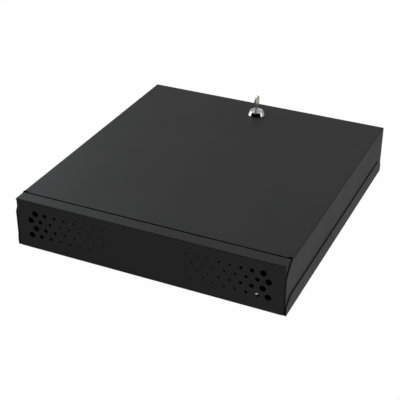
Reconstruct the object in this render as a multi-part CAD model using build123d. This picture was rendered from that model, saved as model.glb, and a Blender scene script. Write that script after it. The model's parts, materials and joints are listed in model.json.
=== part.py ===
# A low lockable sheet steel case for rack equipment.
# X runs to the right, Y to the back and Z up. The ground is Z = 0, and the
# origin is below the middle of the case.
import os
from math import asin, atan2, cos, degrees, radians, sin

from build123d import *

# The case over its outer faces
case_width = 355.6
case_depth = 381.0
case_height = 66.7

# The steel sheet, its bends, and the gaps that moving pieces need
sheet = 1.0
bend_radius = 1.5
slip = 0.3
weld_gap = 0.35

# Front wall: its top strip, side returns and clipped lower corners
top_strip_depth = 16.5
side_return_depth = 14.0
return_gap = 0.5
clipped_corner = 3.5

# Low side and rear walls, with the ends of the side walls ramped down
side_wall_height = 21.5
side_wall_setback = 0.8
side_wall_shortfall = 2.2
ramp_length = 14.0
ramp_drop = 9.0
rear_wall_height = 12.5

# Vents: two mirrored groups, large at the ends and small at the middle
vent_diameters = (8.1, 5.6, 4.2, 3.0, 2.8, 2.1, 2.0, 2.0)
vent_rows = 4
vent_pitch = 13.45
vent_row_pitch = 10.33
vent_bottom_z = 19.8
vent_margin = 26.3

# Threaded nuts pressed into the floor, for screws from below
nut_inset_x = 44.45
nut_inset_y = 22.225
nut_thread_diameter = 4.2
nut_shank_diameter = 6.3
nut_head_diameter = 9.5
nut_head_height = 3.2

# Lid: seam behind the top strip, corner notches and rounded front ears
seam_gap = 2.4
notch_width = 6.0
notch_depth = 2.0
ear_round_length = 19.5
ear_round_height = 18.2
ear_round_bulge = 2.6
ear_clip_length = 17.0
ear_clip_height = 10.5
rear_flange_lift = 1.5
corner_slit = 0.25
corner_relief = 1.2
rear_edge_radius = 0.8

# Cable notches in the rear flange, with rubber edging
cable_notch_inset = 86.5
cable_notch_width = 60.0
cable_notch_top = 38.0
cable_notch_radius = 6.0
edging_lip = 1.0
edging_reach = 4.0
edging_cover = 1.2
edging_clear = 1.0

# Hook tabs welded under the lid's front edge
tab_inset = 66.5
tab_width = 60.0
tab_length = 32.0
tab_reach = 11.0
tab_lap = 3.0
tab_corner = 3.0

# Lock: conical bezel, threaded barrel with two flats, plug with a head
lock_inset = 35.2
bezel_radius = 12.0
bezel_rim = 0.4
bezel_height = 5.7
bezel_top_radius = 9.3
bezel_shoulder = 0.6
barrel_radius = 9.45
barrel_flats = 16.0
barrel_length = 18.0
barrel_fit = 0.15
plug_radius = 5.5
plug_head_radius = 6.2
plug_head_height = 1.6
plug_head_edge = 1.2
plug_recess = 0.2
plug_fit = 0.04
tail_radius = 4.0
tail_flats = 6.0
tail_fit = 0.05

# Key slot, key blade and key bow
slot_width = 2.2
slot_length = 8.0
blade_thickness = 2.0
blade_width = 6.6
blade_length = 17.0
blade_tip = 2.0
slot_spare = 0.8
bow_width = 14.6
bow_height = 17.0
bow_corner = 3.5
neck_height = 5.3
ring_hole_diameter = 3.8
ring_hole_offset = 2.5
ring_hole_inset = 4.2

# Wafers in the plug, their side ears and springs
wafer_thickness = 1.0
wafer_pitch = 2.6
wafer_first_depth = 3.5
wafer_half_width = 2.6
wafer_half_length = 4.75
wafer_play = 0.1
wafer_window_play = 0.15
wafer_codes = (0, 2, 1, 3, 1)
wafer_code_step = 0.25
groove_depth = 0.8
ear_width = 1.5
ear_length = 1.4
spring_diameter = 1.4
spring_bore = 0.8
spring_length = 2.4

# Nut and toothed washer that clamp the lock to the lid
lock_nut_flats = 24.0
lock_nut_height = 3.0
lock_nut_slope = 0.5
washer_radius = 13.2
washer_thickness = 0.8
washer_teeth = 18
washer_tooth_depth = 2.0
washer_tooth_gap = 1.6

# Stop washer, cam, spring washer and screw on the plug's tail
stop_radius = 8.6
stop_thickness = 1.0
stop_tab_width = 3.0
stop_tab_inner = 6.3
stop_tab_outer = 8.0
stop_tab_height = 1.5
cam_thickness = 2.0
cam_width = 16.0
cam_length = 29.0
cam_corner = 4.0
cam_turn = 90.0
stop_play = 3.0
tail_short = 0.2
spring_washer_outer = 4.4
spring_washer_height = 1.1
spring_washer_split = 0.7
screw_radius = 2.45
screw_length = 8.0
screw_head_radius = 4.6
screw_head_height = 2.6
screw_head_edge = 1.3
screw_recess_width = 1.1
screw_recess_length = 5.0
screw_recess_depth = 1.2
screw_fit = 0.05

# Catch on the floor that the cam turns under
catch_sheet = 2.0
catch_width = 30.0
catch_bend = 3.5
catch_foot_length = 20.0
catch_lip_length = 16.5
catch_gap = 0.4

# How far a cutting shape runs past the metal that it cuts
past = 1.0

# Places that follow from the sizes above
overall_depth = case_depth + edging_lip
front_y = -overall_depth / 2
lid_rear_y = front_y + case_depth
base_rear_y = lid_rear_y - sheet - slip
strip_end_y = front_y + top_strip_depth
lid_front_y = strip_end_y + seam_gap
lid_half = case_width / 2 - sheet - slip
front_half = lid_half - sheet - return_gap
under_lid_z = case_height - sheet
lock_y = lid_rear_y - lock_inset
plug_top = bezel_height - plug_recess
stop_top = -barrel_length - slip
cam_top = stop_top - stop_thickness
cam_bottom = cam_top - cam_thickness
bore_radius = plug_radius + plug_fit
flange_lift = bend_radius
nut_x = case_width / 2 - nut_inset_x
nut_y = (front_y + nut_inset_y, lid_rear_y - nut_inset_y)
tab_x = lid_half - tab_inset
cable_notch_x = lid_half - cable_notch_inset
wafer_heights = [plug_top - wafer_first_depth - i * wafer_pitch for i in range(len(wafer_codes))]


def block(x, y, z):
    """A box between the low and high limit given for each axis."""
    spans = (x, y, z)
    size = [high - low for low, high in spans]
    middle = [(high + low) / 2 for low, high in spans]
    return Pos(*middle) * Box(*size)


def along_x(face, low, high):
    """A (Y, Z) outline made solid from X = low to X = high."""
    return extrude(Plane.YZ.offset(low) * face, amount=high - low, dir=(1, 0, 0))


def along_y(face, low, high):
    """An (X, Z) outline made solid from Y = low to Y = high."""
    return extrude(Plane.XZ.offset(-low) * face, amount=high - low, dir=(0, 1, 0))


def along_z(face, low, high):
    """An (X, Y) outline made solid from Z = low to Z = high."""
    return extrude(Plane.XY.offset(low) * face, amount=high - low, dir=(0, 0, 1))


def both_sides(shape):
    """The shape with its mirror image on the other side of the case."""
    return shape + mirror(shape, about=Plane.YZ)


def outline(*lines):
    """The face inside a closed run of lines and arcs."""
    return make_face([edge for line in lines for edge in line.edges()])


def bent_section(outer, inner, radius=bend_radius, thickness=sheet):
    """The section of a bent sheet between its outer and inner corner points."""
    outer_line = FilletPolyline(*outer, radius=radius)
    inner_line = FilletPolyline(*inner, radius=radius - thickness)
    start = Line(outer[0], inner[0])
    end = Line(outer[-1], inner[-1])
    return outline(outer_line, inner_line, start, end)


def disc(radius, low, high):
    """A flat disc about the Z axis."""
    return along_z(Circle(radius), low, high)


def ring(outer, inner, low, high):
    """A flat ring about the Z axis."""
    return along_z(Circle(outer) - Circle(inner), low, high)


def at_lock(shape):
    """Moves a lock piece from its own axis, lid top at zero, to its place."""
    return Pos(0, lock_y, case_height) * shape


def floor_plate():
    y_span = (front_y + bend_radius, base_rear_y - bend_radius)
    reach = case_width / 2 - bend_radius
    return block((-reach, reach), y_span, (0, sheet))


def front_channel():
    """Front wall with the top strip, bent up from the floor."""
    start_y = front_y + 2 * bend_radius
    outer = [(start_y, 0), (front_y, 0), (front_y, case_height), (strip_end_y, case_height)]
    inner = [
        (start_y, sheet),
        (front_y + sheet, sheet),
        (front_y + sheet, under_lid_z),
        (strip_end_y, under_lid_z),
    ]
    channel = along_x(bent_section(outer, inner), -front_half, front_half)
    return channel - both_sides(front_corner_space()) - both_sides(lower_corner_clip())


def front_corner_span():
    """Heights between which the front wall's ends are bent back."""
    return clipped_corner, case_height - bend_radius - weld_gap


def front_corner_space():
    x_span = (front_half - bend_radius, front_half + past)
    return block(x_span, (front_y - past, front_y + bend_radius), front_corner_span())


def lower_corner_clip():
    """The clipped lower corner of the front wall, as a cutting wedge."""
    inner_x = front_half - clipped_corner
    outer_x = front_half + past
    top_z = clipped_corner + past
    wedge = Polygon((inner_x - past, -past), (outer_x, -past), (outer_x, top_z), align=None)
    return along_y(wedge, front_y - past, front_y + bend_radius)


def side_return():
    """The right end of the front wall, bent back beside the lid's flange."""
    start_x = front_half - 2 * bend_radius
    end_y = front_y + side_return_depth
    inner_x = front_half - sheet
    outer = [(start_x, front_y), (front_half, front_y), (front_half, end_y)]
    inner = [(start_x, front_y + sheet), (inner_x, front_y + sheet), (inner_x, end_y)]
    low, high = front_corner_span()
    bend = along_z(bent_section(outer, inner), low, high)
    upper_y = (front_y + bend_radius, end_y)
    return bend + block((inner_x, front_half), upper_y, (high, under_lid_z - weld_gap))


def side_wall():
    """The right side wall, bent up from the floor, with ramped ends."""
    half = case_width / 2
    start_x = half - 2 * bend_radius
    outer = [(start_x, 0), (half, 0), (half, side_wall_height)]
    inner = [(start_x, sheet), (half - sheet, sheet), (half - sheet, side_wall_height)]
    low_y = front_y + side_wall_setback
    high_y = base_rear_y - side_wall_shortfall
    wall = along_y(bent_section(outer, inner), low_y, high_y)
    ramp_z = side_wall_height - ramp_drop
    side_view = Polygon(
        (low_y, 0),
        (low_y, ramp_z),
        (low_y + ramp_length, side_wall_height),
        (high_y - ramp_length, side_wall_height),
        (high_y, ramp_z),
        (high_y, 0),
        align=None,
    )
    wall &= along_x(side_view, start_x, half)
    relief_x = (start_x - past, half - bend_radius)
    relief_z = (-past, sheet + past)
    wall -= block(relief_x, (low_y - past, front_y + bend_radius), relief_z)
    wall -= block(relief_x, (base_rear_y - bend_radius, high_y + past), relief_z)
    return wall


def rear_wall():
    start_y = base_rear_y - 2 * bend_radius
    inner_y = base_rear_y - sheet
    outer = [(start_y, 0), (base_rear_y, 0), (base_rear_y, rear_wall_height)]
    inner = [(start_y, sheet), (inner_y, sheet), (inner_y, rear_wall_height)]
    return along_x(bent_section(outer, inner), -front_half, front_half)


def vent_holes():
    """Staggered rows of round vents, each group shrinking to the middle."""
    holes = Sketch()
    for row in range(vent_rows):
        row_z = vent_bottom_z + row * vent_row_pitch
        stagger = vent_pitch / 2 if row % 2 == 0 else 0
        outer_x = front_half - vent_margin + stagger
        for column, diameter in enumerate(vent_diameters):
            for side in (-1, 1):
                hole_x = side * (outer_x - column * vent_pitch)
                holes += Pos(hole_x, row_z) * Circle(diameter / 2)
    return along_y(holes, front_y - past, front_y + sheet + past)


def floor_nut_places():
    return [(side * nut_x, y) for side in (-1, 1) for y in nut_y]


def base_tray():
    """Floor, front, side and rear walls, folded from one sheet."""
    tray = floor_plate() + front_channel() + rear_wall()
    tray += both_sides(side_return())
    tray += both_sides(side_wall())
    tray -= vent_holes()
    shanks = Sketch() + [Pos(x, y) * Circle(nut_shank_diameter / 2) for x, y in floor_nut_places()]
    return tray - along_z(shanks, -past, sheet + past)


def floor_nuts():
    """Threaded nuts, flush below the floor, with round heads inside."""
    nuts = []
    for x, y in floor_nut_places():
        bore = nut_thread_diameter / 2
        shank = ring(nut_shank_diameter / 2, bore, 0, sheet)
        head = ring(nut_head_diameter / 2, bore, sheet, sheet + nut_head_height)
        nuts.append(Pos(x, y, 0) * (shank + head))
    return nuts


def rear_catch():
    """Bent strip on the floor whose top lip holds the cam down."""
    back_y = base_rear_y - sheet
    front_face_y = back_y - catch_sheet
    lip_z = case_height + cam_top + catch_gap
    top_z = lip_z + catch_sheet
    foot_y = back_y - catch_foot_length
    lip_y = back_y - catch_lip_length
    outer = [(foot_y, sheet), (back_y, sheet), (back_y, top_z), (lip_y, top_z)]
    inner = [
        (foot_y, sheet + catch_sheet),
        (front_face_y, sheet + catch_sheet),
        (front_face_y, lip_z),
        (lip_y, lip_z),
    ]
    section = bent_section(outer, inner, catch_bend, catch_sheet)
    return along_x(section, -catch_width / 2, catch_width / 2)


def lid_cover():
    """Top panel with side and rear flanges, without the front ears."""
    outer = rounded_cover(0, rear_flange_lift, lid_front_y)
    inner = rounded_cover(sheet, rear_flange_lift - past, lid_front_y - past)
    return outer - inner


def rounded_cover(inset, low_z, front):
    """A block with the lid's rounded edges, drawn in by an inset."""
    half = lid_half - inset
    back = lid_rear_y - inset
    shape = block((-half, half), (front, back), (low_z, case_height - inset))
    uprights = shape.edges().filter_by(Axis.Z).group_by(Axis.Y)[-1]
    shape = fillet(uprights, rear_edge_radius)
    top_edges = shape.faces().sort_by(Axis.Z)[-1].edges().sort_by(Axis.Y)
    return fillet(top_edges[1:], bend_radius - inset)


def ear_plates():
    """Side flange ends that run forward past the front wall."""
    end_y = lid_front_y + notch_depth
    round_y = front_y + ear_round_length
    round_z = case_height - ear_round_height
    clip_z = flange_lift + ear_clip_height
    edge = Polyline(
        (round_y, case_height),
        (end_y, case_height),
        (end_y, flange_lift),
        (front_y + ear_clip_length, flange_lift),
        (front_y, clip_z),
        (front_y, round_z),
    )
    slope = atan2(ear_round_height, ear_round_length)
    middle_y = (front_y + round_y) / 2 - ear_round_bulge * sin(slope)
    middle_z = (case_height + round_z) / 2 + ear_round_bulge * cos(slope)
    arc = ThreePointArc((front_y, round_z), (middle_y, middle_z), (round_y, case_height))
    return both_sides(along_x(outline(edge, arc), lid_half - sheet, lid_half))


def cable_notch(grow):
    """Outline of one cable notch, grown all round, seen from behind."""
    half = cable_notch_width / 2 + grow
    top = cable_notch_top + grow
    radius = cable_notch_radius + grow
    bottom = rear_flange_lift - past
    shape = Polygon((-half, bottom), (half, bottom), (half, top), (-half, top), align=None)
    return fillet(shape.vertices().group_by(Axis.Y)[-1], radius)


def lock_hole():
    """Round hole with two flats that keeps the barrel from turning."""
    circle = Circle(barrel_radius + barrel_fit)
    flats = Rectangle(barrel_flats + 2 * barrel_fit, 4 * barrel_radius)
    return Pos(0, lock_y) * (circle & flats)


def lid_shell():
    """The lid, folded from one sheet."""
    lid = lid_cover()
    flange_x = (-lid_half - past, lid_half + past)
    side_low = (rear_flange_lift - past, flange_lift)
    lid -= block(flange_x, (lid_front_y - past, lid_rear_y - bend_radius), side_low)
    notch_x = (lid_half - notch_width, lid_half + past)
    notch_y = (lid_front_y - past, lid_front_y + notch_depth)
    lid -= both_sides(block(notch_x, notch_y, (case_height - bend_radius, case_height + past)))
    lid += ear_plates()
    slit_end = lid_half - sheet
    slit_x = (slit_end - corner_slit, slit_end)
    slit_y = (lid_rear_y - sheet - past, lid_rear_y + past)
    slit_top = case_height - bend_radius - corner_relief
    slit = block(slit_x, slit_y, (0, slit_top))
    relief = Pos(slit_end - corner_relief, slit_top) * Circle(corner_relief)
    lid -= both_sides(slit + along_y(relief, *slit_y))
    notch = Pos(cable_notch_x, 0) * cable_notch(0)
    lid -= both_sides(along_y(notch, *slit_y))
    return lid - along_z(lock_hole(), under_lid_z - past, case_height + past)


def edging():
    """Rubber edging that grips the rim of one cable notch."""
    band = cable_notch(edging_reach) - cable_notch(-edging_cover)
    grip = cable_notch(edging_reach + past) - cable_notch(0)
    inner_y = lid_rear_y - sheet
    strip = along_y(band, inner_y - edging_lip, lid_rear_y + edging_lip)
    strip -= along_y(grip, inner_y, lid_rear_y)
    half = cable_notch_width / 2 + edging_reach
    low_z = rear_wall_height + edging_clear
    keep_y = (inner_y - 2 * edging_lip, lid_rear_y + 2 * edging_lip)
    keep = block((-half, half), keep_y, (low_z, case_height))
    return strip & keep


def hook_tab():
    """Stepped tab: welded under the lid, it reaches below the top strip."""
    half = tab_width / 2
    weld_y = (lid_front_y, lid_front_y + tab_length - tab_reach)
    tongue_y = (strip_end_y - tab_reach, lid_front_y + tab_lap)
    weld = block((-half, half), weld_y, (under_lid_z - sheet, under_lid_z))
    tongue_top = under_lid_z - slip
    tongue = block((-half, half), tongue_y, (tongue_top - sheet, tongue_top))
    upper_end = block((-half, half), (weld_y[0], weld_y[0] + tab_lap), (tongue_top, under_lid_z))
    tab = weld + tongue - upper_end
    front_corners = tab.edges().filter_by(Axis.Z).group_by(Axis.Y)[0]
    return fillet(front_corners, tab_corner)


def lock_housing():
    """Conical bezel and barrel in one piece, bored for the plug."""
    head_radius = plug_head_radius + plug_fit
    seat_z = plug_top - plug_head_height
    section = Polygon(
        (bezel_top_radius, bezel_height),
        (head_radius + slip, bezel_height),
        (head_radius, bezel_height - slip),
        (head_radius, seat_z - plug_fit),
        (bore_radius, seat_z - plug_fit),
        (bore_radius, -barrel_length),
        (barrel_radius, -barrel_length),
        (barrel_radius, 0),
        (bezel_radius, 0),
        (bezel_radius, bezel_rim),
        align=None,
    )
    shoulder = section.vertices().group_by(Axis.Y)[-1].sort_by(Axis.X)[-1]
    housing = revolve(Plane.XZ * fillet(shoulder, bezel_shoulder), Axis.Z)
    flat_x = (barrel_flats / 2, barrel_radius + past)
    barrel_z = (-barrel_length - past, 0)
    housing -= both_sides(block(flat_x, (-barrel_radius, barrel_radius), barrel_z))
    groove_x = (-wafer_half_width - wafer_play, wafer_half_width + wafer_play)
    groove_reach = bore_radius + groove_depth
    groove_z = (-barrel_length - past, wafer_heights[0] + wafer_pitch / 2)
    housing -= block(groove_x, (-groove_reach, groove_reach), groove_z)
    return at_lock(housing - stop_pocket())


def stop_pocket():
    """Quarter-turn pocket in the barrel's end for the stop tab."""
    margin = degrees(asin(stop_tab_width / 2 / stop_tab_inner)) + stop_play
    reach = 2 * barrel_radius
    tab_at_rest = 180
    angles = [tab_at_rest - margin, tab_at_rest + cam_turn / 2, tab_at_rest + cam_turn + margin]
    rim = [(reach * cos(radians(angle)), reach * sin(radians(angle))) for angle in angles]
    sector = outline(Line((0, 0), rim[0]), ThreePointArc(*rim), Line(rim[2], (0, 0)))
    pocket = sector - Circle(stop_tab_inner - slip)
    return along_z(pocket, -barrel_length - past, -barrel_length + stop_tab_height)


def lock_plug():
    """Plug that the key turns, with its slot, wafer windows and tail."""
    tail_end = cam_bottom + tail_short
    plug = disc(plug_radius, -barrel_length, plug_top)
    head = disc(plug_head_radius, plug_top - plug_head_height, plug_top)
    plug += fillet(head.faces().sort_by(Axis.Z)[-1].edges(), plug_head_edge)
    tail = Circle(tail_radius) & Rectangle(tail_flats, 4 * tail_radius)
    plug += along_z(tail, tail_end, -barrel_length)
    half_slot = slot_width / 2
    slot_low = plug_top - blade_length - slot_spare
    slot_y = (-slot_length / 2, slot_length / 2)
    plug -= block((-half_slot, half_slot), slot_y, (slot_low, plug_top + past))
    for height in wafer_heights:
        plug -= wafer_space(height)
    screw_hole = Circle(screw_radius + screw_fit)
    return at_lock(plug - along_z(screw_hole, tail_end - past, screw_hole_top()))


def screw_hole_top():
    return cam_bottom - spring_washer_height + screw_length + screw_fit


def wafer_space(z):
    """Window across the plug for one wafer, its ear and its spring."""
    half = wafer_half_width + wafer_play
    high = wafer_thickness / 2 + wafer_play
    reach = plug_radius + past
    space = block((-half, half), (-reach, reach), (z - high, z + high))
    ear_x = (0, wafer_half_width + ear_width + wafer_play)
    space += block(ear_x, (-ear_length - wafer_play, wafer_play), (z - high, z + high))
    pocket = Pos(spring_x(), z) * Circle(spring_diameter / 2 + wafer_play / 2)
    return space + along_y(pocket, 0, spring_length + wafer_play)


def spring_x():
    return wafer_half_width + ear_width / 2


def wafer(index):
    """One wafer, whose window height follows its code."""
    high = wafer_thickness / 2
    z = wafer_heights[index]
    plate = block(
        (-wafer_half_width, wafer_half_width),
        (-wafer_half_length, wafer_half_length),
        (z - high, z + high),
    )
    ear_x = (0, wafer_half_width + ear_width)
    plate += block(ear_x, (-ear_length, 0), (z - high, z + high))
    half_window = blade_thickness / 2 + wafer_window_play
    low = -blade_width / 2 - wafer_window_play
    top = blade_width / 2 + wafer_window_play + wafer_codes[index] * wafer_code_step
    window_z = (z - 2 * high, z + 2 * high)
    return at_lock(plate - block((-half_window, half_window), (low, top), window_z))


def wafer_springs():
    """One short coil spring behind the ear of each wafer."""
    section = Circle(spring_diameter / 2) - Circle(spring_bore / 2)
    return [
        at_lock(along_y(Pos(spring_x(), height) * section, 0, spring_length))
        for height in wafer_heights
    ]


def toothed_washer():
    washer = ring(washer_radius, barrel_radius + barrel_fit, -sheet - washer_thickness, -sheet)
    step = 360 / washer_teeth
    gap_x = (washer_radius - washer_tooth_depth, washer_radius + past)
    half = washer_tooth_gap / 2
    gap = block(gap_x, (-half, half), (-sheet - washer_thickness, -sheet))
    for tooth in range(washer_teeth):
        washer -= Rot(0, 0, tooth * step) * gap
    return at_lock(washer)


def lock_nut():
    """Thin hexagonal nut, its corners turned off on the lower face."""
    top = -sheet - washer_thickness
    low = top - lock_nut_height
    half = lock_nut_flats / 2
    reach = half / cos(radians(30)) + past
    rise = (reach - half) * lock_nut_slope
    turned = Polygon((0, low), (half, low), (reach, low + rise), (reach, top), (0, top), align=None)
    hexagon = RegularPolygon(half, 6, major_radius=False)
    nut = along_z(hexagon - Circle(barrel_radius + barrel_fit), low, top)
    return at_lock(nut & revolve(Plane.XZ * turned, Axis.Z))


def tail_hole():
    """Hole that fits over the plug's flatted tail."""
    circle = Circle(tail_radius + tail_fit)
    return circle & Rectangle(tail_flats + 2 * tail_fit, 4 * tail_radius)


def stop_washer():
    """Washer on the tail whose upright tab limits the turn."""
    washer = along_z(Circle(stop_radius) - tail_hole(), cam_top, stop_top)
    half = stop_tab_width / 2
    tab_z = (cam_top, stop_top + stop_tab_height)
    return at_lock(washer + block((-stop_tab_outer, -stop_tab_inner), (-half, half), tab_z))


def lock_cam():
    """Flat cam with a rounded tip. At rest it points to the right."""
    half = cam_width / 2
    bar = Pos(cam_length / 2, 0) * Rectangle(cam_length, cam_width)
    bar = fillet(bar.vertices().group_by(Axis.X)[-1], cam_corner)
    plan = (Circle(half) + bar) - tail_hole()
    return at_lock(along_z(plan, cam_bottom, cam_top))


def cam_spring_washer():
    low = cam_bottom - spring_washer_height
    washer = ring(spring_washer_outer, screw_radius + screw_fit, low, cam_bottom)
    half = spring_washer_split / 2
    split_x = (0, spring_washer_outer + past)
    return at_lock(washer - block(split_x, (-half, half), (low, cam_bottom)))


def cam_screw():
    """Screw up into the plug's tail, with a cross recess in its head."""
    seat = cam_bottom - spring_washer_height
    head_low = seat - screw_head_height
    head = disc(screw_head_radius, head_low, seat)
    head = fillet(head.faces().sort_by(Axis.Z)[0].edges(), screw_head_edge)
    shank = disc(screw_radius, seat, seat + screw_length)
    half = screw_recess_width / 2
    reach = screw_recess_length / 2
    recess_z = (head_low - past, head_low + screw_recess_depth)
    cross = block((-half, half), (-reach, reach), recess_z)
    cross += block((-reach, reach), (-half, half), recess_z)
    return at_lock(head + shank - cross)


def key():
    """Flat key: blade in the plug, neck, and a bow with a round top."""
    neck_z = plug_top + slip
    bow_low = neck_z + neck_height
    bow_top = bow_low + bow_height
    half_bow = bow_width / 2
    round_z = bow_top - half_bow
    half_blade = blade_width / 2
    tip_z = plug_top - blade_length
    bow = Pos(0, (bow_low + round_z) / 2) * Rectangle(bow_width, round_z - bow_low)
    lower = bow.vertices().group_by(Axis.Y)[0]
    bow = fillet(lower, bow_corner) + Pos(0, round_z) * Circle(half_bow)
    hole_z = bow_top - ring_hole_inset
    bow -= Pos(ring_hole_offset, hole_z) * Circle(ring_hole_diameter / 2)
    blade = Polygon(
        (-half_blade, bow_low + bow_corner),
        (-half_blade, tip_z + blade_tip),
        (-half_blade + blade_tip, tip_z),
        (half_blade - blade_tip, tip_z),
        (half_blade, tip_z + blade_tip),
        (half_blade, bow_low + bow_corner),
        align=None,
    )
    for height, code in zip(wafer_heights, wafer_codes):
        blade -= bitting(half_blade, height, code)
    solid = along_x(bow + blade, -blade_thickness / 2, blade_thickness / 2)
    return at_lock(solid)


def bitting(edge, z, code):
    """Flat-bottomed notch in the blade's edge, deeper for a higher code."""
    depth = (code + 1) * wafer_code_step
    floor = wafer_thickness / 2
    run = floor + depth
    return Polygon(
        (edge + past, z - run - past),
        (edge - depth, z - floor),
        (edge - depth, z + floor),
        (edge + past, z + run + past),
        align=None,
    )


def nodes():
    """Every piece of the case under its own name."""
    tab = hook_tab()
    edge = edging()
    named = {
        "base_tray": base_tray(),
        "floor_nuts": floor_nuts(),
        "rear_catch": rear_catch(),
        "lid_shell": lid_shell(),
        "hook_tab_left": Pos(-tab_x, 0, 0) * tab,
        "hook_tab_right": Pos(tab_x, 0, 0) * tab,
        "cable_edging_left": Pos(-cable_notch_x, 0, 0) * edge,
        "cable_edging_right": Pos(cable_notch_x, 0, 0) * edge,
        "lock_housing": lock_housing(),
        "toothed_washer": toothed_washer(),
        "lock_nut": lock_nut(),
        "lock_plug": lock_plug(),
        "wafer_springs": wafer_springs(),
        "stop_washer": stop_washer(),
        "lock_cam": lock_cam(),
        "cam_spring_washer": cam_spring_washer(),
        "cam_screw": cam_screw(),
        "key": key(),
    }
    for index in range(len(wafer_codes)):
        named[f"wafer_{index + 1}"] = wafer(index)
    return named


os.makedirs("parts", exist_ok=True)
for name, shape in nodes().items():
    pieces = shape if isinstance(shape, list) else [shape]
    solids = [solid for piece in pieces for solid in piece.solids()]
    export_step(Compound(children=solids), f"parts/{name}.step")
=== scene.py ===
# %% [markdown]
# A low steel equipment lock box: a black powder coated tray and lid, with a
# chrome cam lock and its key. The shapes are exact solids that come ready made,
# so this lesson is about light, finish and the small things that only a mesh
# can carry: spot welds, screw threads and coil springs.

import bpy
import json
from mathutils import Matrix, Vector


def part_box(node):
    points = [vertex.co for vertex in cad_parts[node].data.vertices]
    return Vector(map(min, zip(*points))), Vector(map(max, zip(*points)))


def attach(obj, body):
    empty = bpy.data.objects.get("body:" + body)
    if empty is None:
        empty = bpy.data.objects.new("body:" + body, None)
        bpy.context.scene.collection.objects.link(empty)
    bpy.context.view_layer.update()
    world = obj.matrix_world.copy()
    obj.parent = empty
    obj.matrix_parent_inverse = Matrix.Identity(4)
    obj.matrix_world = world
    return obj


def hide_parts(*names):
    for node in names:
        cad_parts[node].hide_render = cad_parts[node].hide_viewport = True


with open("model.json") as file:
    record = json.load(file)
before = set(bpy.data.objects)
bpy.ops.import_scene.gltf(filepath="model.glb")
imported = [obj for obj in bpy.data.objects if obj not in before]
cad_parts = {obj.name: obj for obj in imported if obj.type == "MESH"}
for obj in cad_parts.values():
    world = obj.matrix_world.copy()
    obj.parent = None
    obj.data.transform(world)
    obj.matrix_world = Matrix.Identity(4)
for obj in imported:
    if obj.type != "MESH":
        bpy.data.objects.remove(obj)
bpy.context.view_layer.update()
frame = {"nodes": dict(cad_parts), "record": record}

# %% Modules and the unit of the sizes
import json
import math

import bmesh
import bpy
from mathutils import Matrix, Quaternion, Vector

MM = 0.001

# %% [markdown]
# The camera. A product photo is taken from well back with a long lens, so that
# the far edges of the lid hardly converge. The camera is given by the point
# that it looks at, its distance and its two angles, because these can be set one
# after the other against the photo, and by the small roll of a hand-set tripod.

# %% Camera
LOOK_AT = Vector((0.00096, -0.03823, 0.02718))
CAMERA_DISTANCE = 1.27
AZIMUTH = math.radians(24.80)
ELEVATION = math.radians(30.28)
ROLL = math.radians(0.16)
SENSOR_MM = 36.0
LENS_MM = 88.52


def direction(azimuth, elevation):
    """Unit vector from the object out to a place round it."""
    flat = math.cos(elevation)
    return Vector((math.sin(azimuth) * flat, -math.cos(azimuth) * flat, math.sin(elevation)))


camera = bpy.data.objects.new("camera", bpy.data.cameras.new("camera"))
bpy.context.scene.collection.objects.link(camera)
bpy.context.scene.camera = camera
camera.data.sensor_width = SENSOR_MM
camera.data.lens = LENS_MM
outward = direction(AZIMUTH, ELEVATION)
camera.location = LOOK_AT + outward * CAMERA_DISTANCE
camera.rotation_mode = "QUATERNION"
camera.rotation_quaternion = (-outward).to_track_quat("-Z", "Y") @ Quaternion((0, 0, 1), ROLL)
print("camera at", [round(v, 3) for v in camera.location])

# %% [markdown]
# Materials are built from nodes. A few small helpers keep that readable. One
# adds a node with its settings, one joins two sockets, and one feeds a socket
# with either another socket or a number. The last two do sums with values that
# change over a surface.

# %% Node helpers


def add(tree, kind, **settings):
    """A new node. Settings named like a socket go to it, others to the node."""
    node = tree.nodes.new(kind)
    for name, value in settings.items():
        title = name.replace("_", " ")
        if title in node.inputs:
            node.inputs[title].default_value = value
        else:
            setattr(node, name, value)
    return node


def join(tree, source, target):
    """A link from an output socket to an input socket."""
    tree.links.new(source, target)


def feed(tree, value, target):
    """Gives an input socket a value: a socket is joined to it, anything else is set."""
    if isinstance(value, bpy.types.NodeSocket):
        join(tree, value, target)
    else:
        target.default_value = value


def maths(tree, operation, *values):
    """The output of a maths node of values that are sockets or numbers."""
    made = add(tree, "ShaderNodeMath", operation=operation)
    for value, target in zip(values, made.inputs):
        feed(tree, value, target)
    return made.outputs[0]


def spread(tree, value, low, high, out_low=0.0, out_high=1.0):
    """Stretches a value between two limits to a new range, and clamps it."""
    made = add(tree, "ShaderNodeMapRange")
    join(tree, value, made.inputs["Value"])
    limits = {"From Min": low, "From Max": high, "To Min": out_low, "To Max": out_high}
    for title, limit in limits.items():
        feed(tree, limit, made.inputs[title])
    return made.outputs["Result"]


print("helpers:", [helper.__name__ for helper in (add, join, feed, maths, spread)])

# %% [markdown]
# The studio. The camera sees a pure white surround and a white ground with the
# faintest shade on it. The light that falls on the object is another matter: it
# comes from three soft boxes and from a little light all round, so that the case
# is lit plainly while the page stays white. What shiny surfaces mirror is a third
# matter: a softer surround, and paper that is brightest toward the right front.
# One brightness could not serve all three. The Light Path node tells them apart,
# because it says of each ray whether the camera sent it, or a mirror or glass.
# The right box lights the case but is kept out of the mirrors, where it would
# put a white patch into the dark side of the bezel.

# %% World
WHITE = (1, 1, 1, 1)
SURROUND_LIGHT = 0.45
SURROUND_SEEN = 1.0
SURROUND_MIRRORED = 0.6


def white_share(tree, to_camera, to_mirrors):
    """A value for camera rays, another for mirrored rays and 0 for lighting."""
    path = add(tree, "ShaderNodeLightPath")
    glossy, through = path.outputs["Is Glossy Ray"], path.outputs["Is Transmission Ray"]
    mirrored = maths(tree, "MULTIPLY", maths(tree, "MAXIMUM", glossy, through), to_mirrors)
    direct = maths(tree, "MULTIPLY", path.outputs["Is Camera Ray"], to_camera)
    return maths(tree, "MAXIMUM", direct, mirrored)


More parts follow.
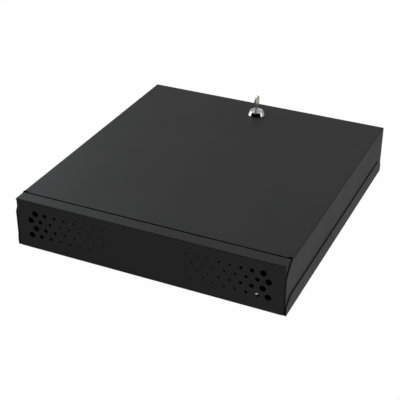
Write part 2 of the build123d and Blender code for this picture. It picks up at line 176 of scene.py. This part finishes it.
world = bpy.data.worlds.new("studio")
world.use_nodes = True
tree = world.node_tree
tree.nodes.clear()
surround = add(tree, "ShaderNodeBackground", Color=WHITE)
seen = white_share(tree, SURROUND_SEEN, SURROUND_MIRRORED)
join(tree, maths(tree, "MAXIMUM", seen, SURROUND_LIGHT), surround.inputs["Strength"])
join(tree, surround.outputs[0], add(tree, "ShaderNodeOutputWorld").inputs[0])
bpy.context.scene.world = world
bpy.context.scene.view_settings.view_transform = "Standard"
print("world:", len(tree.nodes), "nodes")

# %% Ground
GROUND_HALF = 6.0
GROUND_GAP = 0.05 * MM
PAPER_COLOUR = (0.82, 0.82, 0.82, 1)
GROUND_SEEN_WHITE = 0.98
GROUND_MIRRORED = (0.50, 0.74)
GROUND_MIRRORED_SPAN = (0.0, 0.3)
GROUND_BRIGHTER_TOWARD = (1.0, -0.8, 0.0)


def ground_material():
    """Paper that looks white, yet darkens a little where the case shades it."""
    made = bpy.data.materials.new("white_paper")
    made.use_nodes = True
    nodes = made.node_tree
    nodes.nodes.clear()
    paper = add(nodes, "ShaderNodeBsdfDiffuse", Color=PAPER_COLOUR)
    glow = add(nodes, "ShaderNodeEmission", Color=WHITE)
    blend = add(nodes, "ShaderNodeMixShader")
    along = add(nodes, "ShaderNodeVectorMath", operation="DOT_PRODUCT")
    join(nodes, add(nodes, "ShaderNodeTexCoord").outputs["Object"], along.inputs[0])
    along.inputs[1].default_value = GROUND_BRIGHTER_TOWARD
    # Painted pool of light: in mirrors the paper glows brighter toward the right front.
    mirrored = spread(nodes, along.outputs["Value"], *GROUND_MIRRORED_SPAN, *GROUND_MIRRORED)
    join(nodes, white_share(nodes, 1.0, mirrored), glow.inputs["Strength"])
    join(nodes, white_share(nodes, GROUND_SEEN_WHITE, 1.0), blend.inputs[0])
    join(nodes, paper.outputs[0], blend.inputs[1])
    join(nodes, glow.outputs[0], blend.inputs[2])
    join(nodes, blend.outputs[0], add(nodes, "ShaderNodeOutputMaterial").inputs[0])
    return made


sheet = bpy.data.meshes.new("ground")
corners = [(x * GROUND_HALF, y * GROUND_HALF, 0) for x, y in ((-1, -1), (1, -1), (1, 1), (-1, 1))]
sheet.from_pydata(corners, [], [(0, 1, 2, 3)])
ground = bpy.data.objects.new("ground", sheet)
ground.location.z = -GROUND_GAP
sheet.materials.append(ground_material())
bpy.context.scene.collection.objects.link(ground)
print("ground:", 2 * GROUND_HALF, "m across")

# %% Soft boxes


def soft_box(name, azimuth, elevation, distance, width, height, watts,
             colour=(1, 1, 1), mirrored=True):
    """A large rectangular lamp that faces the case, at two angles in degrees."""
    lamp = bpy.data.lights.new(name, "AREA")
    lamp.shape = "RECTANGLE"
    lamp.size = width
    lamp.size_y = height
    lamp.energy = watts
    lamp.color = colour
    made = bpy.data.objects.new(name, lamp)
    made.visible_glossy = mirrored
    outward = direction(math.radians(azimuth), math.radians(elevation))
    made.location = outward * distance
    made.rotation_mode = "QUATERNION"
    made.rotation_quaternion = (-outward).to_track_quat("-Z", "Y")
    bpy.context.scene.collection.objects.link(made)


soft_box("left_box", azimuth=-100, elevation=34, distance=1.4, width=1.8, height=0.8, watts=7.2,
         colour=(0.90, 0.95, 1.0))
soft_box("right_box", azimuth=74, elevation=32, distance=1.5, width=1.2, height=0.8, watts=6.0,
         colour=(1.0, 0.99, 0.92), mirrored=False)
soft_box("back_box", azimuth=-165, elevation=58, distance=1.6, width=1.0, height=0.8, watts=4.6)

# %% [markdown]
# Chrome looks like chrome only where it has something dark and something bright
# to mirror. A studio has both by itself: the room behind the camera is unlit, and
# the walls beside it are lit. Here panels stand in for them, each a part of a dome
# round the case: a dark cloth behind the camera, and a white card at each side.
# Only mirrored rays meet them, so they don't change the light on the case.

# %% Dome panels that only mirrored rays meet
PANEL_DISTANCE = 1.9
PANEL_STEPS = 8


def dome_panel(name, azimuths, elevations, glow):
    """A glowing patch of a dome between two azimuths and two elevations, in degrees."""
    points = []
    for up in range(PANEL_STEPS + 1):
        rise = (elevations[1] - elevations[0]) * up / PANEL_STEPS
        for along in range(PANEL_STEPS + 1):
            swing = (azimuths[1] - azimuths[0]) * along / PANEL_STEPS
            place = direction(math.radians(azimuths[0] + swing), math.radians(elevations[0] + rise))
            points.append(place * PANEL_DISTANCE)
    row = PANEL_STEPS + 1
    squares = [(u * row + a, u * row + a + 1, (u + 1) * row + a + 1, (u + 1) * row + a)
               for u in range(PANEL_STEPS) for a in range(PANEL_STEPS)]
    panel = bpy.data.meshes.new(name)
    panel.from_pydata(points, [], squares)
    glowing = bpy.data.materials.new(name)
    glowing.use_nodes = True
    nodes = glowing.node_tree
    nodes.nodes.clear()
    light = add(nodes, "ShaderNodeEmission", Color=WHITE, Strength=glow)
    join(nodes, light.outputs[0], add(nodes, "ShaderNodeOutputMaterial").inputs[0])
    panel.materials.append(glowing)
    made = bpy.data.objects.new(name, panel)
    bpy.context.scene.collection.objects.link(made)
    made.visible_camera = False
    made.visible_diffuse = False
    made.visible_transmission = False
    made.visible_shadow = False
    return made


panels = [
    dome_panel("dark_cloth", azimuths=(-74, 91), elevations=(1, 42), glow=0.004),
    dome_panel("left_card", azimuths=(-128, -74), elevations=(0.5, 34), glow=2.2),
    dome_panel("right_card", azimuths=(91, 111), elevations=(0.5, 34), glow=1.7),
]
print("panels:", [panel.name for panel in panels])

# %% [markdown]
# Effects that several finishes share are node groups, so that each is built
# once and every material sets its own amounts. The first is the grain of a
# baked powder coat: fine crumbs over a wider, softer unevenness like the skin of
# an orange, with slow clouds that shift how glossy it is. A picture of real coat
# would show a seam at every fold, and noise in three dimensions has none.

# %% Powder coat grain group
CLOUDS_PER_METRE = 7.0
CRUMB_HEIGHT_SHARE = 0.45
CRUMB_SPAN = (0.35, 0.65)
NOISE_SPAN = (0.3, 0.7)


def new_group(name, inputs, outputs):
    """An empty shader node group with named sockets, and its two end nodes."""
    group = bpy.data.node_groups.new(name, "ShaderNodeTree")
    for title, value in inputs.items():
        socket = group.interface.new_socket(title, in_out="INPUT", socket_type="NodeSocketFloat")
        socket.default_value = value
    for title in outputs:
        kind = "NodeSocketVector" if title == "Normal" else "NodeSocketFloat"
        group.interface.new_socket(title, in_out="OUTPUT", socket_type=kind)
    return group, add(group, "NodeGroupInput"), add(group, "NodeGroupOutput")


def noise(tree, place, scale, detail):
    """Three-dimensional noise whose scale is in features per metre."""
    made = add(tree, "ShaderNodeTexNoise", Detail=detail)
    join(tree, place, made.inputs["Vector"])
    feed(tree, scale, made.inputs["Scale"])
    return made.outputs["Fac"]


def build_powder_grain():
    """Crumbs for the tint, crumbs on a soft skin for the height, clouds for the gloss."""
    inputs = {
        "Crumbs per Metre": 1500.0,
        "Skin per Metre": 420.0,
        "Gloss": 0.4,
        "Gloss Drift": 0.06,
    }
    group, start, end = new_group("Powder Grain", inputs, ("Tint", "Roughness", "Height"))
    place = add(group, "ShaderNodeTexCoord").outputs["Object"]
    crumbs = noise(group, place, start.outputs["Crumbs per Metre"], detail=3.0)
    skin = noise(group, place, start.outputs["Skin per Metre"], detail=1.0)
    clouds = noise(group, place, CLOUDS_PER_METRE, detail=3.0)
    height = maths(group, "MULTIPLY_ADD", crumbs, CRUMB_HEIGHT_SHARE, skin)
    drift = spread(group, clouds, *NOISE_SPAN, -1.0, 1.0)
    shift = maths(group, "MULTIPLY", drift, start.outputs["Gloss Drift"])
    join(group, spread(group, crumbs, *CRUMB_SPAN), end.inputs["Tint"])
    join(group, maths(group, "ADD", start.outputs["Gloss"], shift), end.inputs["Roughness"])
    join(group, height, end.inputs["Height"])
    return group


powder_grain = build_powder_grain()
print(powder_grain.name, len(powder_grain.nodes), "nodes")

# %% [markdown]
# Nothing made of real sheet has a perfectly sharp edge. The second group rounds
# the edges for the light alone, with the Bevel node, and also says where those
# edges are, so that a paler colour can be painted along them as a highlight.
# Rounding the mesh itself would give thousands of faces that nobody sees.

# %% Soft edge group
BEVEL_SAMPLES = 6
EDGE_COSINES = (0.99, 0.75)


def build_soft_edge():
    """The rounded normal, and a mask of where it leaves the true one."""
    group, start, end = new_group("Soft Edge", {"Radius": 0.3 * MM}, ("Normal", "Edge"))
    rounded = add(group, "ShaderNodeBevel", samples=BEVEL_SAMPLES)
    join(group, start.outputs["Radius"], rounded.inputs["Radius"])
    join(group, rounded.outputs["Normal"], end.inputs["Normal"])
    compare = add(group, "ShaderNodeVectorMath", operation="DOT_PRODUCT")
    join(group, add(group, "ShaderNodeNewGeometry").outputs["Normal"], compare.inputs[0])
    join(group, rounded.outputs["Normal"], compare.inputs[1])
    join(group, spread(group, compare.outputs["Value"], *EDGE_COSINES), end.inputs["Edge"])
    return group


soft_edge = build_soft_edge()
print(soft_edge.name, len(soft_edge.nodes), "nodes")

# %% [markdown]
# Bright metal is never evenly bright: handling leaves faint smears, and plating
# leaves a fine cloudiness. One group makes both, and a brushed direction too: where
# the places are squeezed along an axis, the noise is drawn out along it.

# %% Metal marks group
SMEARS_PER_METRE = 90.0
SMEAR_SPAN = (0.4, 0.7)
EITHER_WAY = (-0.5, 0.5)


def build_metal_marks():
    """Fine marks for the height, smears for the tint, and both for the gloss."""
    inputs = {
        "Marks per Metre": 260.0,
        "Along X": 1.0,
        "Along Y": 1.0,
        "Along Z": 1.0,
        "Gloss": 0.1,
        "Gloss Drift": 0.08,
    }
    group, start, end = new_group("Metal Marks", inputs, ("Tint", "Roughness", "Height"))
    place = add(group, "ShaderNodeTexCoord").outputs["Object"]
    squeeze = add(group, "ShaderNodeCombineXYZ")
    for axis in "XYZ":
        join(group, start.outputs[f"Along {axis}"], squeeze.inputs[axis])
    squeezed = add(group, "ShaderNodeVectorMath", operation="MULTIPLY")
    join(group, place, squeezed.inputs[0])
    join(group, squeeze.outputs[0], squeezed.inputs[1])
    marks = noise(group, squeezed.outputs[0], start.outputs["Marks per Metre"], detail=4.0)
    smears = noise(group, place, SMEARS_PER_METRE, detail=2.0)
    mark_shift = spread(group, marks, *NOISE_SPAN, *EITHER_WAY)
    smear_shift = spread(group, smears, *SMEAR_SPAN, *EITHER_WAY)
    both = maths(group, "ADD", mark_shift, smear_shift)
    shift = maths(group, "MULTIPLY", both, start.outputs["Gloss Drift"])
    join(group, spread(group, smears, *NOISE_SPAN), end.inputs["Tint"])
    join(group, maths(group, "ADD", start.outputs["Gloss"], shift), end.inputs["Roughness"])
    join(group, marks, end.inputs["Height"])
    return group


metal_marks = build_metal_marks()
print(metal_marks.name, len(metal_marks.nodes), "nodes")

# %% [markdown]
# Now the finishes. Each starts from the same skeleton: a Principled shader, the
# soft edge group for its normal, and a bump over it. The recipe then says which
# group drives the colour, the gloss and the bump.
#
# The first is the powder coat of the case. It is baked plastic over steel, so
# nothing in it is metallic: a deep black with a satin gloss. Two blacks that are
# nearly the same keep it from being one flat fill, and a paler black is painted
# along the folds as a highlight. It mirrors less than smooth plastic does,
# because its crumbs scatter the light, and so its specular level is set low.

# %% Black powder coat
MIX_FIRST, MIX_SECOND, MIX_RESULT = 6, 7, 2


def place_group(tree, group, amounts):
    """The group as a node of this material, with its own amounts."""
    made = add(tree, "ShaderNodeGroup")
    made.node_tree = group
    for title, value in amounts.items():
        made.inputs[title].default_value = value
    return made


def mix_colours(tree, mask, first, second):
    """A colour that goes from the first to the second as the mask goes from 0 to 1."""
    made = add(tree, "ShaderNodeMix", data_type="RGBA")
    join(tree, mask, made.inputs["Factor"])
    feed(tree, first, made.inputs[MIX_FIRST])
    feed(tree, second, made.inputs[MIX_SECOND])
    return made.outputs[MIX_RESULT]


def finish(name, group, amounts, dark, light, painted_edge_highlight, edge_radius, bump_depth, **shader):
    """A material whose tint, gloss and bump come from a group, set to its own amounts."""
    made = bpy.data.materials.new(name)
    made.use_nodes = True
    tree = made.node_tree
    principled = tree.nodes["Principled BSDF"]
    for title, value in shader.items():
        principled.inputs[title.replace("_", " ")].default_value = value
    grain = place_group(tree, group, amounts)
    edge = place_group(tree, soft_edge, {"Radius": edge_radius})
    body = mix_colours(tree, grain.outputs["Tint"], (*dark, 1), (*light, 1))
    # Painted highlight: a paler colour along the edges that the soft edge group finds.
    colour = mix_colours(tree, edge.outputs["Edge"], body, (*painted_edge_highlight, 1))
    bump = add(tree, "ShaderNodeBump", Distance=bump_depth, Strength=1.0)
    join(tree, grain.outputs["Height"], bump.inputs["Height"])
    join(tree, edge.outputs["Normal"], bump.inputs["Normal"])
    join(tree, colour, principled.inputs["Base Color"])
    join(tree, grain.outputs["Roughness"], principled.inputs["Roughness"])
    join(tree, bump.outputs[0], principled.inputs["Normal"])
    return made


black_coat = finish(
    "powder_coat",
    powder_grain, {"Gloss": 0.46, "Gloss Drift": 0.05},
    dark=(0.0138, 0.0138, 0.0140),
    light=(0.0170, 0.0170, 0.0172),
    painted_edge_highlight=(0.022, 0.022, 0.0222),
    edge_radius=0.15 * MM,
    bump_depth=0.012 * MM,
    Specular_IOR_Level=0.12,
)
print(black_coat.name, "from", powder_grain.name)

# %% [markdown]
# The bezel and the plug are polished and chrome plated. Almost all of their look
# is what they mirror, so the finish itself stays simple: a low roughness that
# drifts a little. The key is nickel, which is warmer, and fine scratches run
# along it from use. They also spread some of the light, so a little less than
# all of it is mirrored, and the key doesn't turn black before a dark room.

# %% Chrome and nickel
chrome = finish(
    "chrome_plate",
    metal_marks, {"Marks per Metre": 300.0, "Gloss": 0.07, "Gloss Drift": 0.05},
    dark=(0.50, 0.50, 0.51),
    light=(0.56, 0.56, 0.57),
    painted_edge_highlight=(0.62, 0.62, 0.63),
    edge_radius=0.25 * MM,
    bump_depth=0.001 * MM,
    Metallic=1.0,
)
nickel = finish(
    "nickel_plate",
    metal_marks, {"Marks per Metre": 500.0, "Along Z": 0.12, "Gloss": 0.26, "Gloss Drift": 0.1},
    dark=(0.62, 0.61, 0.57),
    light=(0.74, 0.73, 0.69),
    painted_edge_highlight=(0.80, 0.79, 0.75),
    edge_radius=0.2 * MM,
    bump_depth=0.002 * MM,
    Metallic=0.88,
)
print("lock and key:", chrome.name, nickel.name)

# %% [markdown]
# The nuts, washers and the cam are zinc plated, a greyer and cloudier metal with
# a bluish cast. The wafers are stamped from thin brass, with finer marks and less
# gloss. Both come from the same marks group as the chrome, only with other amounts.

# %% Zinc and brass
zinc = finish(
    "zinc_plate",
    metal_marks, {"Marks per Metre": 420.0, "Gloss": 0.13, "Gloss Drift": 0.06},
    dark=(0.42, 0.43, 0.46),
    light=(0.56, 0.57, 0.60),
    painted_edge_highlight=(0.66, 0.67, 0.69),
    edge_radius=0.2 * MM,
    bump_depth=0.004 * MM,
    Metallic=1.0,
)
brass = finish(
    "stamped_brass",
    metal_marks, {"Marks per Metre": 900.0, "Gloss": 0.25, "Gloss Drift": 0.12},
    dark=(0.62, 0.43, 0.17),
    light=(0.76, 0.56, 0.25),
    painted_edge_highlight=(0.85, 0.66, 0.35),
    edge_radius=0.08 * MM,
    bump_depth=0.002 * MM,
    Metallic=1.0,
)
print("small hardware:", zinc.name, brass.name)

# %% [markdown]
# The edging that guards the cables in the two notches is moulded rubber. It is
# as black as the case but matte, and its skin is finer than the coat's, so the
# powder grain group serves it too, with smaller crumbs and much less gloss.

# %% Rubber
rubber = finish(
    "edging_rubber",
    powder_grain, {"Crumbs per Metre": 2600.0, "Gloss": 0.72, "Gloss Drift": 0.08},
    dark=(0.010, 0.010, 0.010),
    light=(0.016, 0.016, 0.016),
    painted_edge_highlight=(0.022, 0.022, 0.022),
    edge_radius=0.5 * MM,
    bump_depth=0.02 * MM,
    Specular_IOR_Level=0.3,
)
print("notches:", rubber.name)

# %% [markdown]
# Each solid now gets its finish. The record names a material slot for every
# solid, so the finish follows from the slot.

# %% Dress the solids
FINISH_OF_SLOT = {
    "black_powder_coat": black_coat,
    "zinc_plated_steel": zinc,
    "bright_chrome": chrome,
    "nickel_plated_key": nickel,
    "wafer_brass": brass,
    "spring_steel": zinc,
    "black_rubber": rubber,
}
for part in frame["record"]["subparts"]:
    solid = frame["nodes"][part["node"]]
    solid.data.materials.clear()
    solid.data.materials.append(FINISH_OF_SLOT[part["material_slot"]])

# %% [markdown]
# Small round pieces are turned, as on a lathe: a profile of radius and height is
# swept round an axis. A spot weld is such a piece. The electrode leaves a shallow
# dish with a raised rim, and the powder coat covers it. The catch is welded to
# the floor and to the rear wall with two spots each, and each hook tab to the
# lid with three. A bump in the material could shade such a dish, but it would
# leave the mesh flat.

# %% Turned shapes
TURN_STEPS = 32


def turn(mesh, profile, place):
    """Adds a closed shape: (radius, height) points in a sweep round Z, then placed."""
    angles = [2 * math.pi * step / TURN_STEPS for step in range(TURN_STEPS)]
    rings = []
    for radius, height in profile:
        points = [Vector((radius * math.cos(a), radius * math.sin(a), height)) for a in angles]
        rings.append([mesh.verts.new(place @ point) for point in points])
    for inner, outer in zip(rings, rings[1:]):
        for step in range(TURN_STEPS):
            after = (step + 1) % TURN_STEPS
            mesh.faces.new((inner[step], outer[step], outer[after], inner[after]))
    mesh.faces.new(rings[0])
    mesh.faces.new(rings[-1])


def piece(name, mesh, body, material):
    """Makes the mesh a smooth piece that rides on a body."""
    bmesh.ops.recalc_face_normals(mesh, faces=mesh.faces)
    data = bpy.data.meshes.new(name)
    mesh.to_mesh(data)
    mesh.free()
    for face in data.polygons:
        face.use_smooth = True
    data.materials.append(material)
    made = bpy.data.objects.new(name, data)
    bpy.context.scene.collection.objects.link(made)
    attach(made, body)
    print(name, "has", len(data.polygons), "faces")


print("round shapes have", TURN_STEPS, "steps")

# %% Spot welds
WELD_PROFILE_MM = [(0.4, 0.06), (1.5, 0.08), (1.9, 0.2), (2.2, 0.22), (2.5, 0.1), (2.7, -0.05)]
CATCH_SHEET = 2.0 * MM
TAB_SHEET = 1.0 * MM
CATCH_WELD_ACROSS = 8 * MM
FOOT_WELD_INSET = 7 * MM
BACK_WELD_HEIGHT = 7.5 * MM
TAB_WELD_SPACING = 20 * MM
TAB_WELD_INSET = 9 * MM
UP, DOWN, FORWARD = Vector((0, 0, 1)), Vector((0, 0, -1)), Vector((0, -1, 0))


def weld(mesh, spot, outward):
    """One weld on a flat face, at a spot, that faces outward."""
    turned = outward.to_track_quat("Z", "Y").to_matrix().to_4x4()
    turn(mesh, WELD_PROFILE_MM, Matrix.Translation(spot) @ turned @ Matrix.Scale(MM, 4))


catch_low, catch_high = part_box("rear_catch")
foot_weld_y = catch_low.y + FOOT_WELD_INSET
back_weld_z = catch_low.z + BACK_WELD_HEIGHT
base_welds = bmesh.new()
for side in (-1, 1):
    across = side * CATCH_WELD_ACROSS
    weld(base_welds, Vector((across, foot_weld_y, catch_low.z + CATCH_SHEET)), UP)
    weld(base_welds, Vector((across, catch_high.y - CATCH_SHEET, back_weld_z)), FORWARD)
piece("catch_welds", base_welds, "base", black_coat)

lid_welds = bmesh.new()
for side in ("left", "right"):
    tab_low, tab_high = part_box(f"hook_tab_{side}")
    middle = (tab_low + tab_high) / 2
    tab_weld_y = tab_high.y - TAB_WELD_INSET
    for step in (-1, 0, 1):
        across = middle.x + step * TAB_WELD_SPACING
        weld(lid_welds, Vector((across, tab_weld_y, tab_high.z - TAB_SHEET)), DOWN)
piece("tab_welds", lid_welds, "lid", black_coat)

# %% [markdown]
# The solid barrel of the lock is smooth, but a real one carries a fine thread
# that the nut runs on, cut away at the two flats. A thread is one long ridge. It
# is built turn by turn from three-sided slices, each a little further round and
# a little lower, and every point that would pass a flat is held at the flat. The
# ridge is closed where a flat cuts it.

# %% Thread of the lock barrel
THREAD_PITCH = 1.0 * MM
THREAD_ROOT = 9.38 * MM
THREAD_CREST = 9.62 * MM
THREAD_HALF_WIDTH = 0.42 * THREAD_PITCH
THREAD_STEPS = 40
BARREL_FLAT = 8.0 * MM
FLAT_MARGIN = 0.5 * MM
NUT_GAP = 0.5 * THREAD_PITCH

housing_low, housing_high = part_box("lock_housing")
nut_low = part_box("lock_nut")[0]
lock_axis = (housing_low + housing_high) / 2


def thread_slice(mesh, angle, height):
    """Root, crest and root again, held between the flats."""
    made = []
    ridge = ((THREAD_ROOT, -THREAD_HALF_WIDTH), (THREAD_CREST, 0.0), (THREAD_ROOT, THREAD_HALF_WIDTH))
    for radius, rise in ridge:
        x = max(-BARREL_FLAT, min(BARREL_FLAT, radius * math.cos(angle)))
        y = radius * math.sin(angle)
        made.append(mesh.verts.new((lock_axis.x + x, lock_axis.y + y, height + rise)))
    return made


thread = bmesh.new()
low_limit = housing_low.z + THREAD_PITCH
high_limit = nut_low.z - NUT_GAP
turns = int((high_limit - low_limit) / THREAD_PITCH)
before = None
for step in range(turns * THREAD_STEPS + 1):
    angle = 2 * math.pi * step / THREAD_STEPS
    if abs(THREAD_ROOT * math.cos(angle)) > BARREL_FLAT + FLAT_MARGIN:
        if before:
            thread.faces.new(before)
        before = None
        continue
    now = thread_slice(thread, angle, high_limit - THREAD_PITCH * step / THREAD_STEPS)
    if before:
        for near, far in ((0, 1), (1, 2), (2, 0)):
            thread.faces.new((before[near], before[far], now[far], now[near]))
    else:
        thread.faces.new(now)
    before = now
print("thread turns:", turns)
piece("barrel_thread", thread, "lid", chrome)

# %% [markdown]
# Five hair-thin coil springs push the wafers outward. Each is a curve that winds
# round its own axis, with a round bevel for the wire, because a curve keeps the
# wire round at every turn without any modelling. They stand in for the five
# plain tubes of the solid model, so they replace that node.

# %% Wafer springs
WAFER_COUNT = 5
SPRING_TURNS = 5
SPRING_WIRE = 0.13 * MM
WIRE_ROUNDNESS = 2
POINTS_PER_TURN = 12

spring_low, spring_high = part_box("wafer_springs")
spring_radius = (spring_high.x - spring_low.x) / 2 - SPRING_WIRE
spring_axis_x = (spring_low.x + spring_high.x) / 2
spring_length = spring_high.y - spring_low.y - 2 * SPRING_WIRE
spring_curve = bpy.data.curves.new("wafer_spring_coils", "CURVE")
spring_curve.dimensions = "3D"
spring_curve.bevel_depth = SPRING_WIRE
spring_curve.bevel_resolution = WIRE_ROUNDNESS
spring_curve.use_fill_caps = True
spring_curve.materials.append(zinc)
for index in range(1, WAFER_COUNT + 1):
    wafer_low, wafer_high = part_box(f"wafer_{index}")
    spring_axis_z = (wafer_low.z + wafer_high.z) / 2
    coil = spring_curve.splines.new("POLY")
    coil.points.add(SPRING_TURNS * POINTS_PER_TURN)
    for step, point in enumerate(coil.points):
        angle = 2 * math.pi * step / POINTS_PER_TURN
        share = step / (SPRING_TURNS * POINTS_PER_TURN)
        x = spring_axis_x + spring_radius * math.cos(angle)
        y = spring_low.y + SPRING_WIRE + spring_length * share
        z = spring_axis_z + spring_radius * math.sin(angle)
        point.co = (x, y, z, 1)
coils = bpy.data.objects.new("wafer_spring_coils", spring_curve)
bpy.context.scene.collection.objects.link(coils)
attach(coils, "plug")
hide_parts("wafer_springs")
print("coil springs:", len(spring_curve.splines))
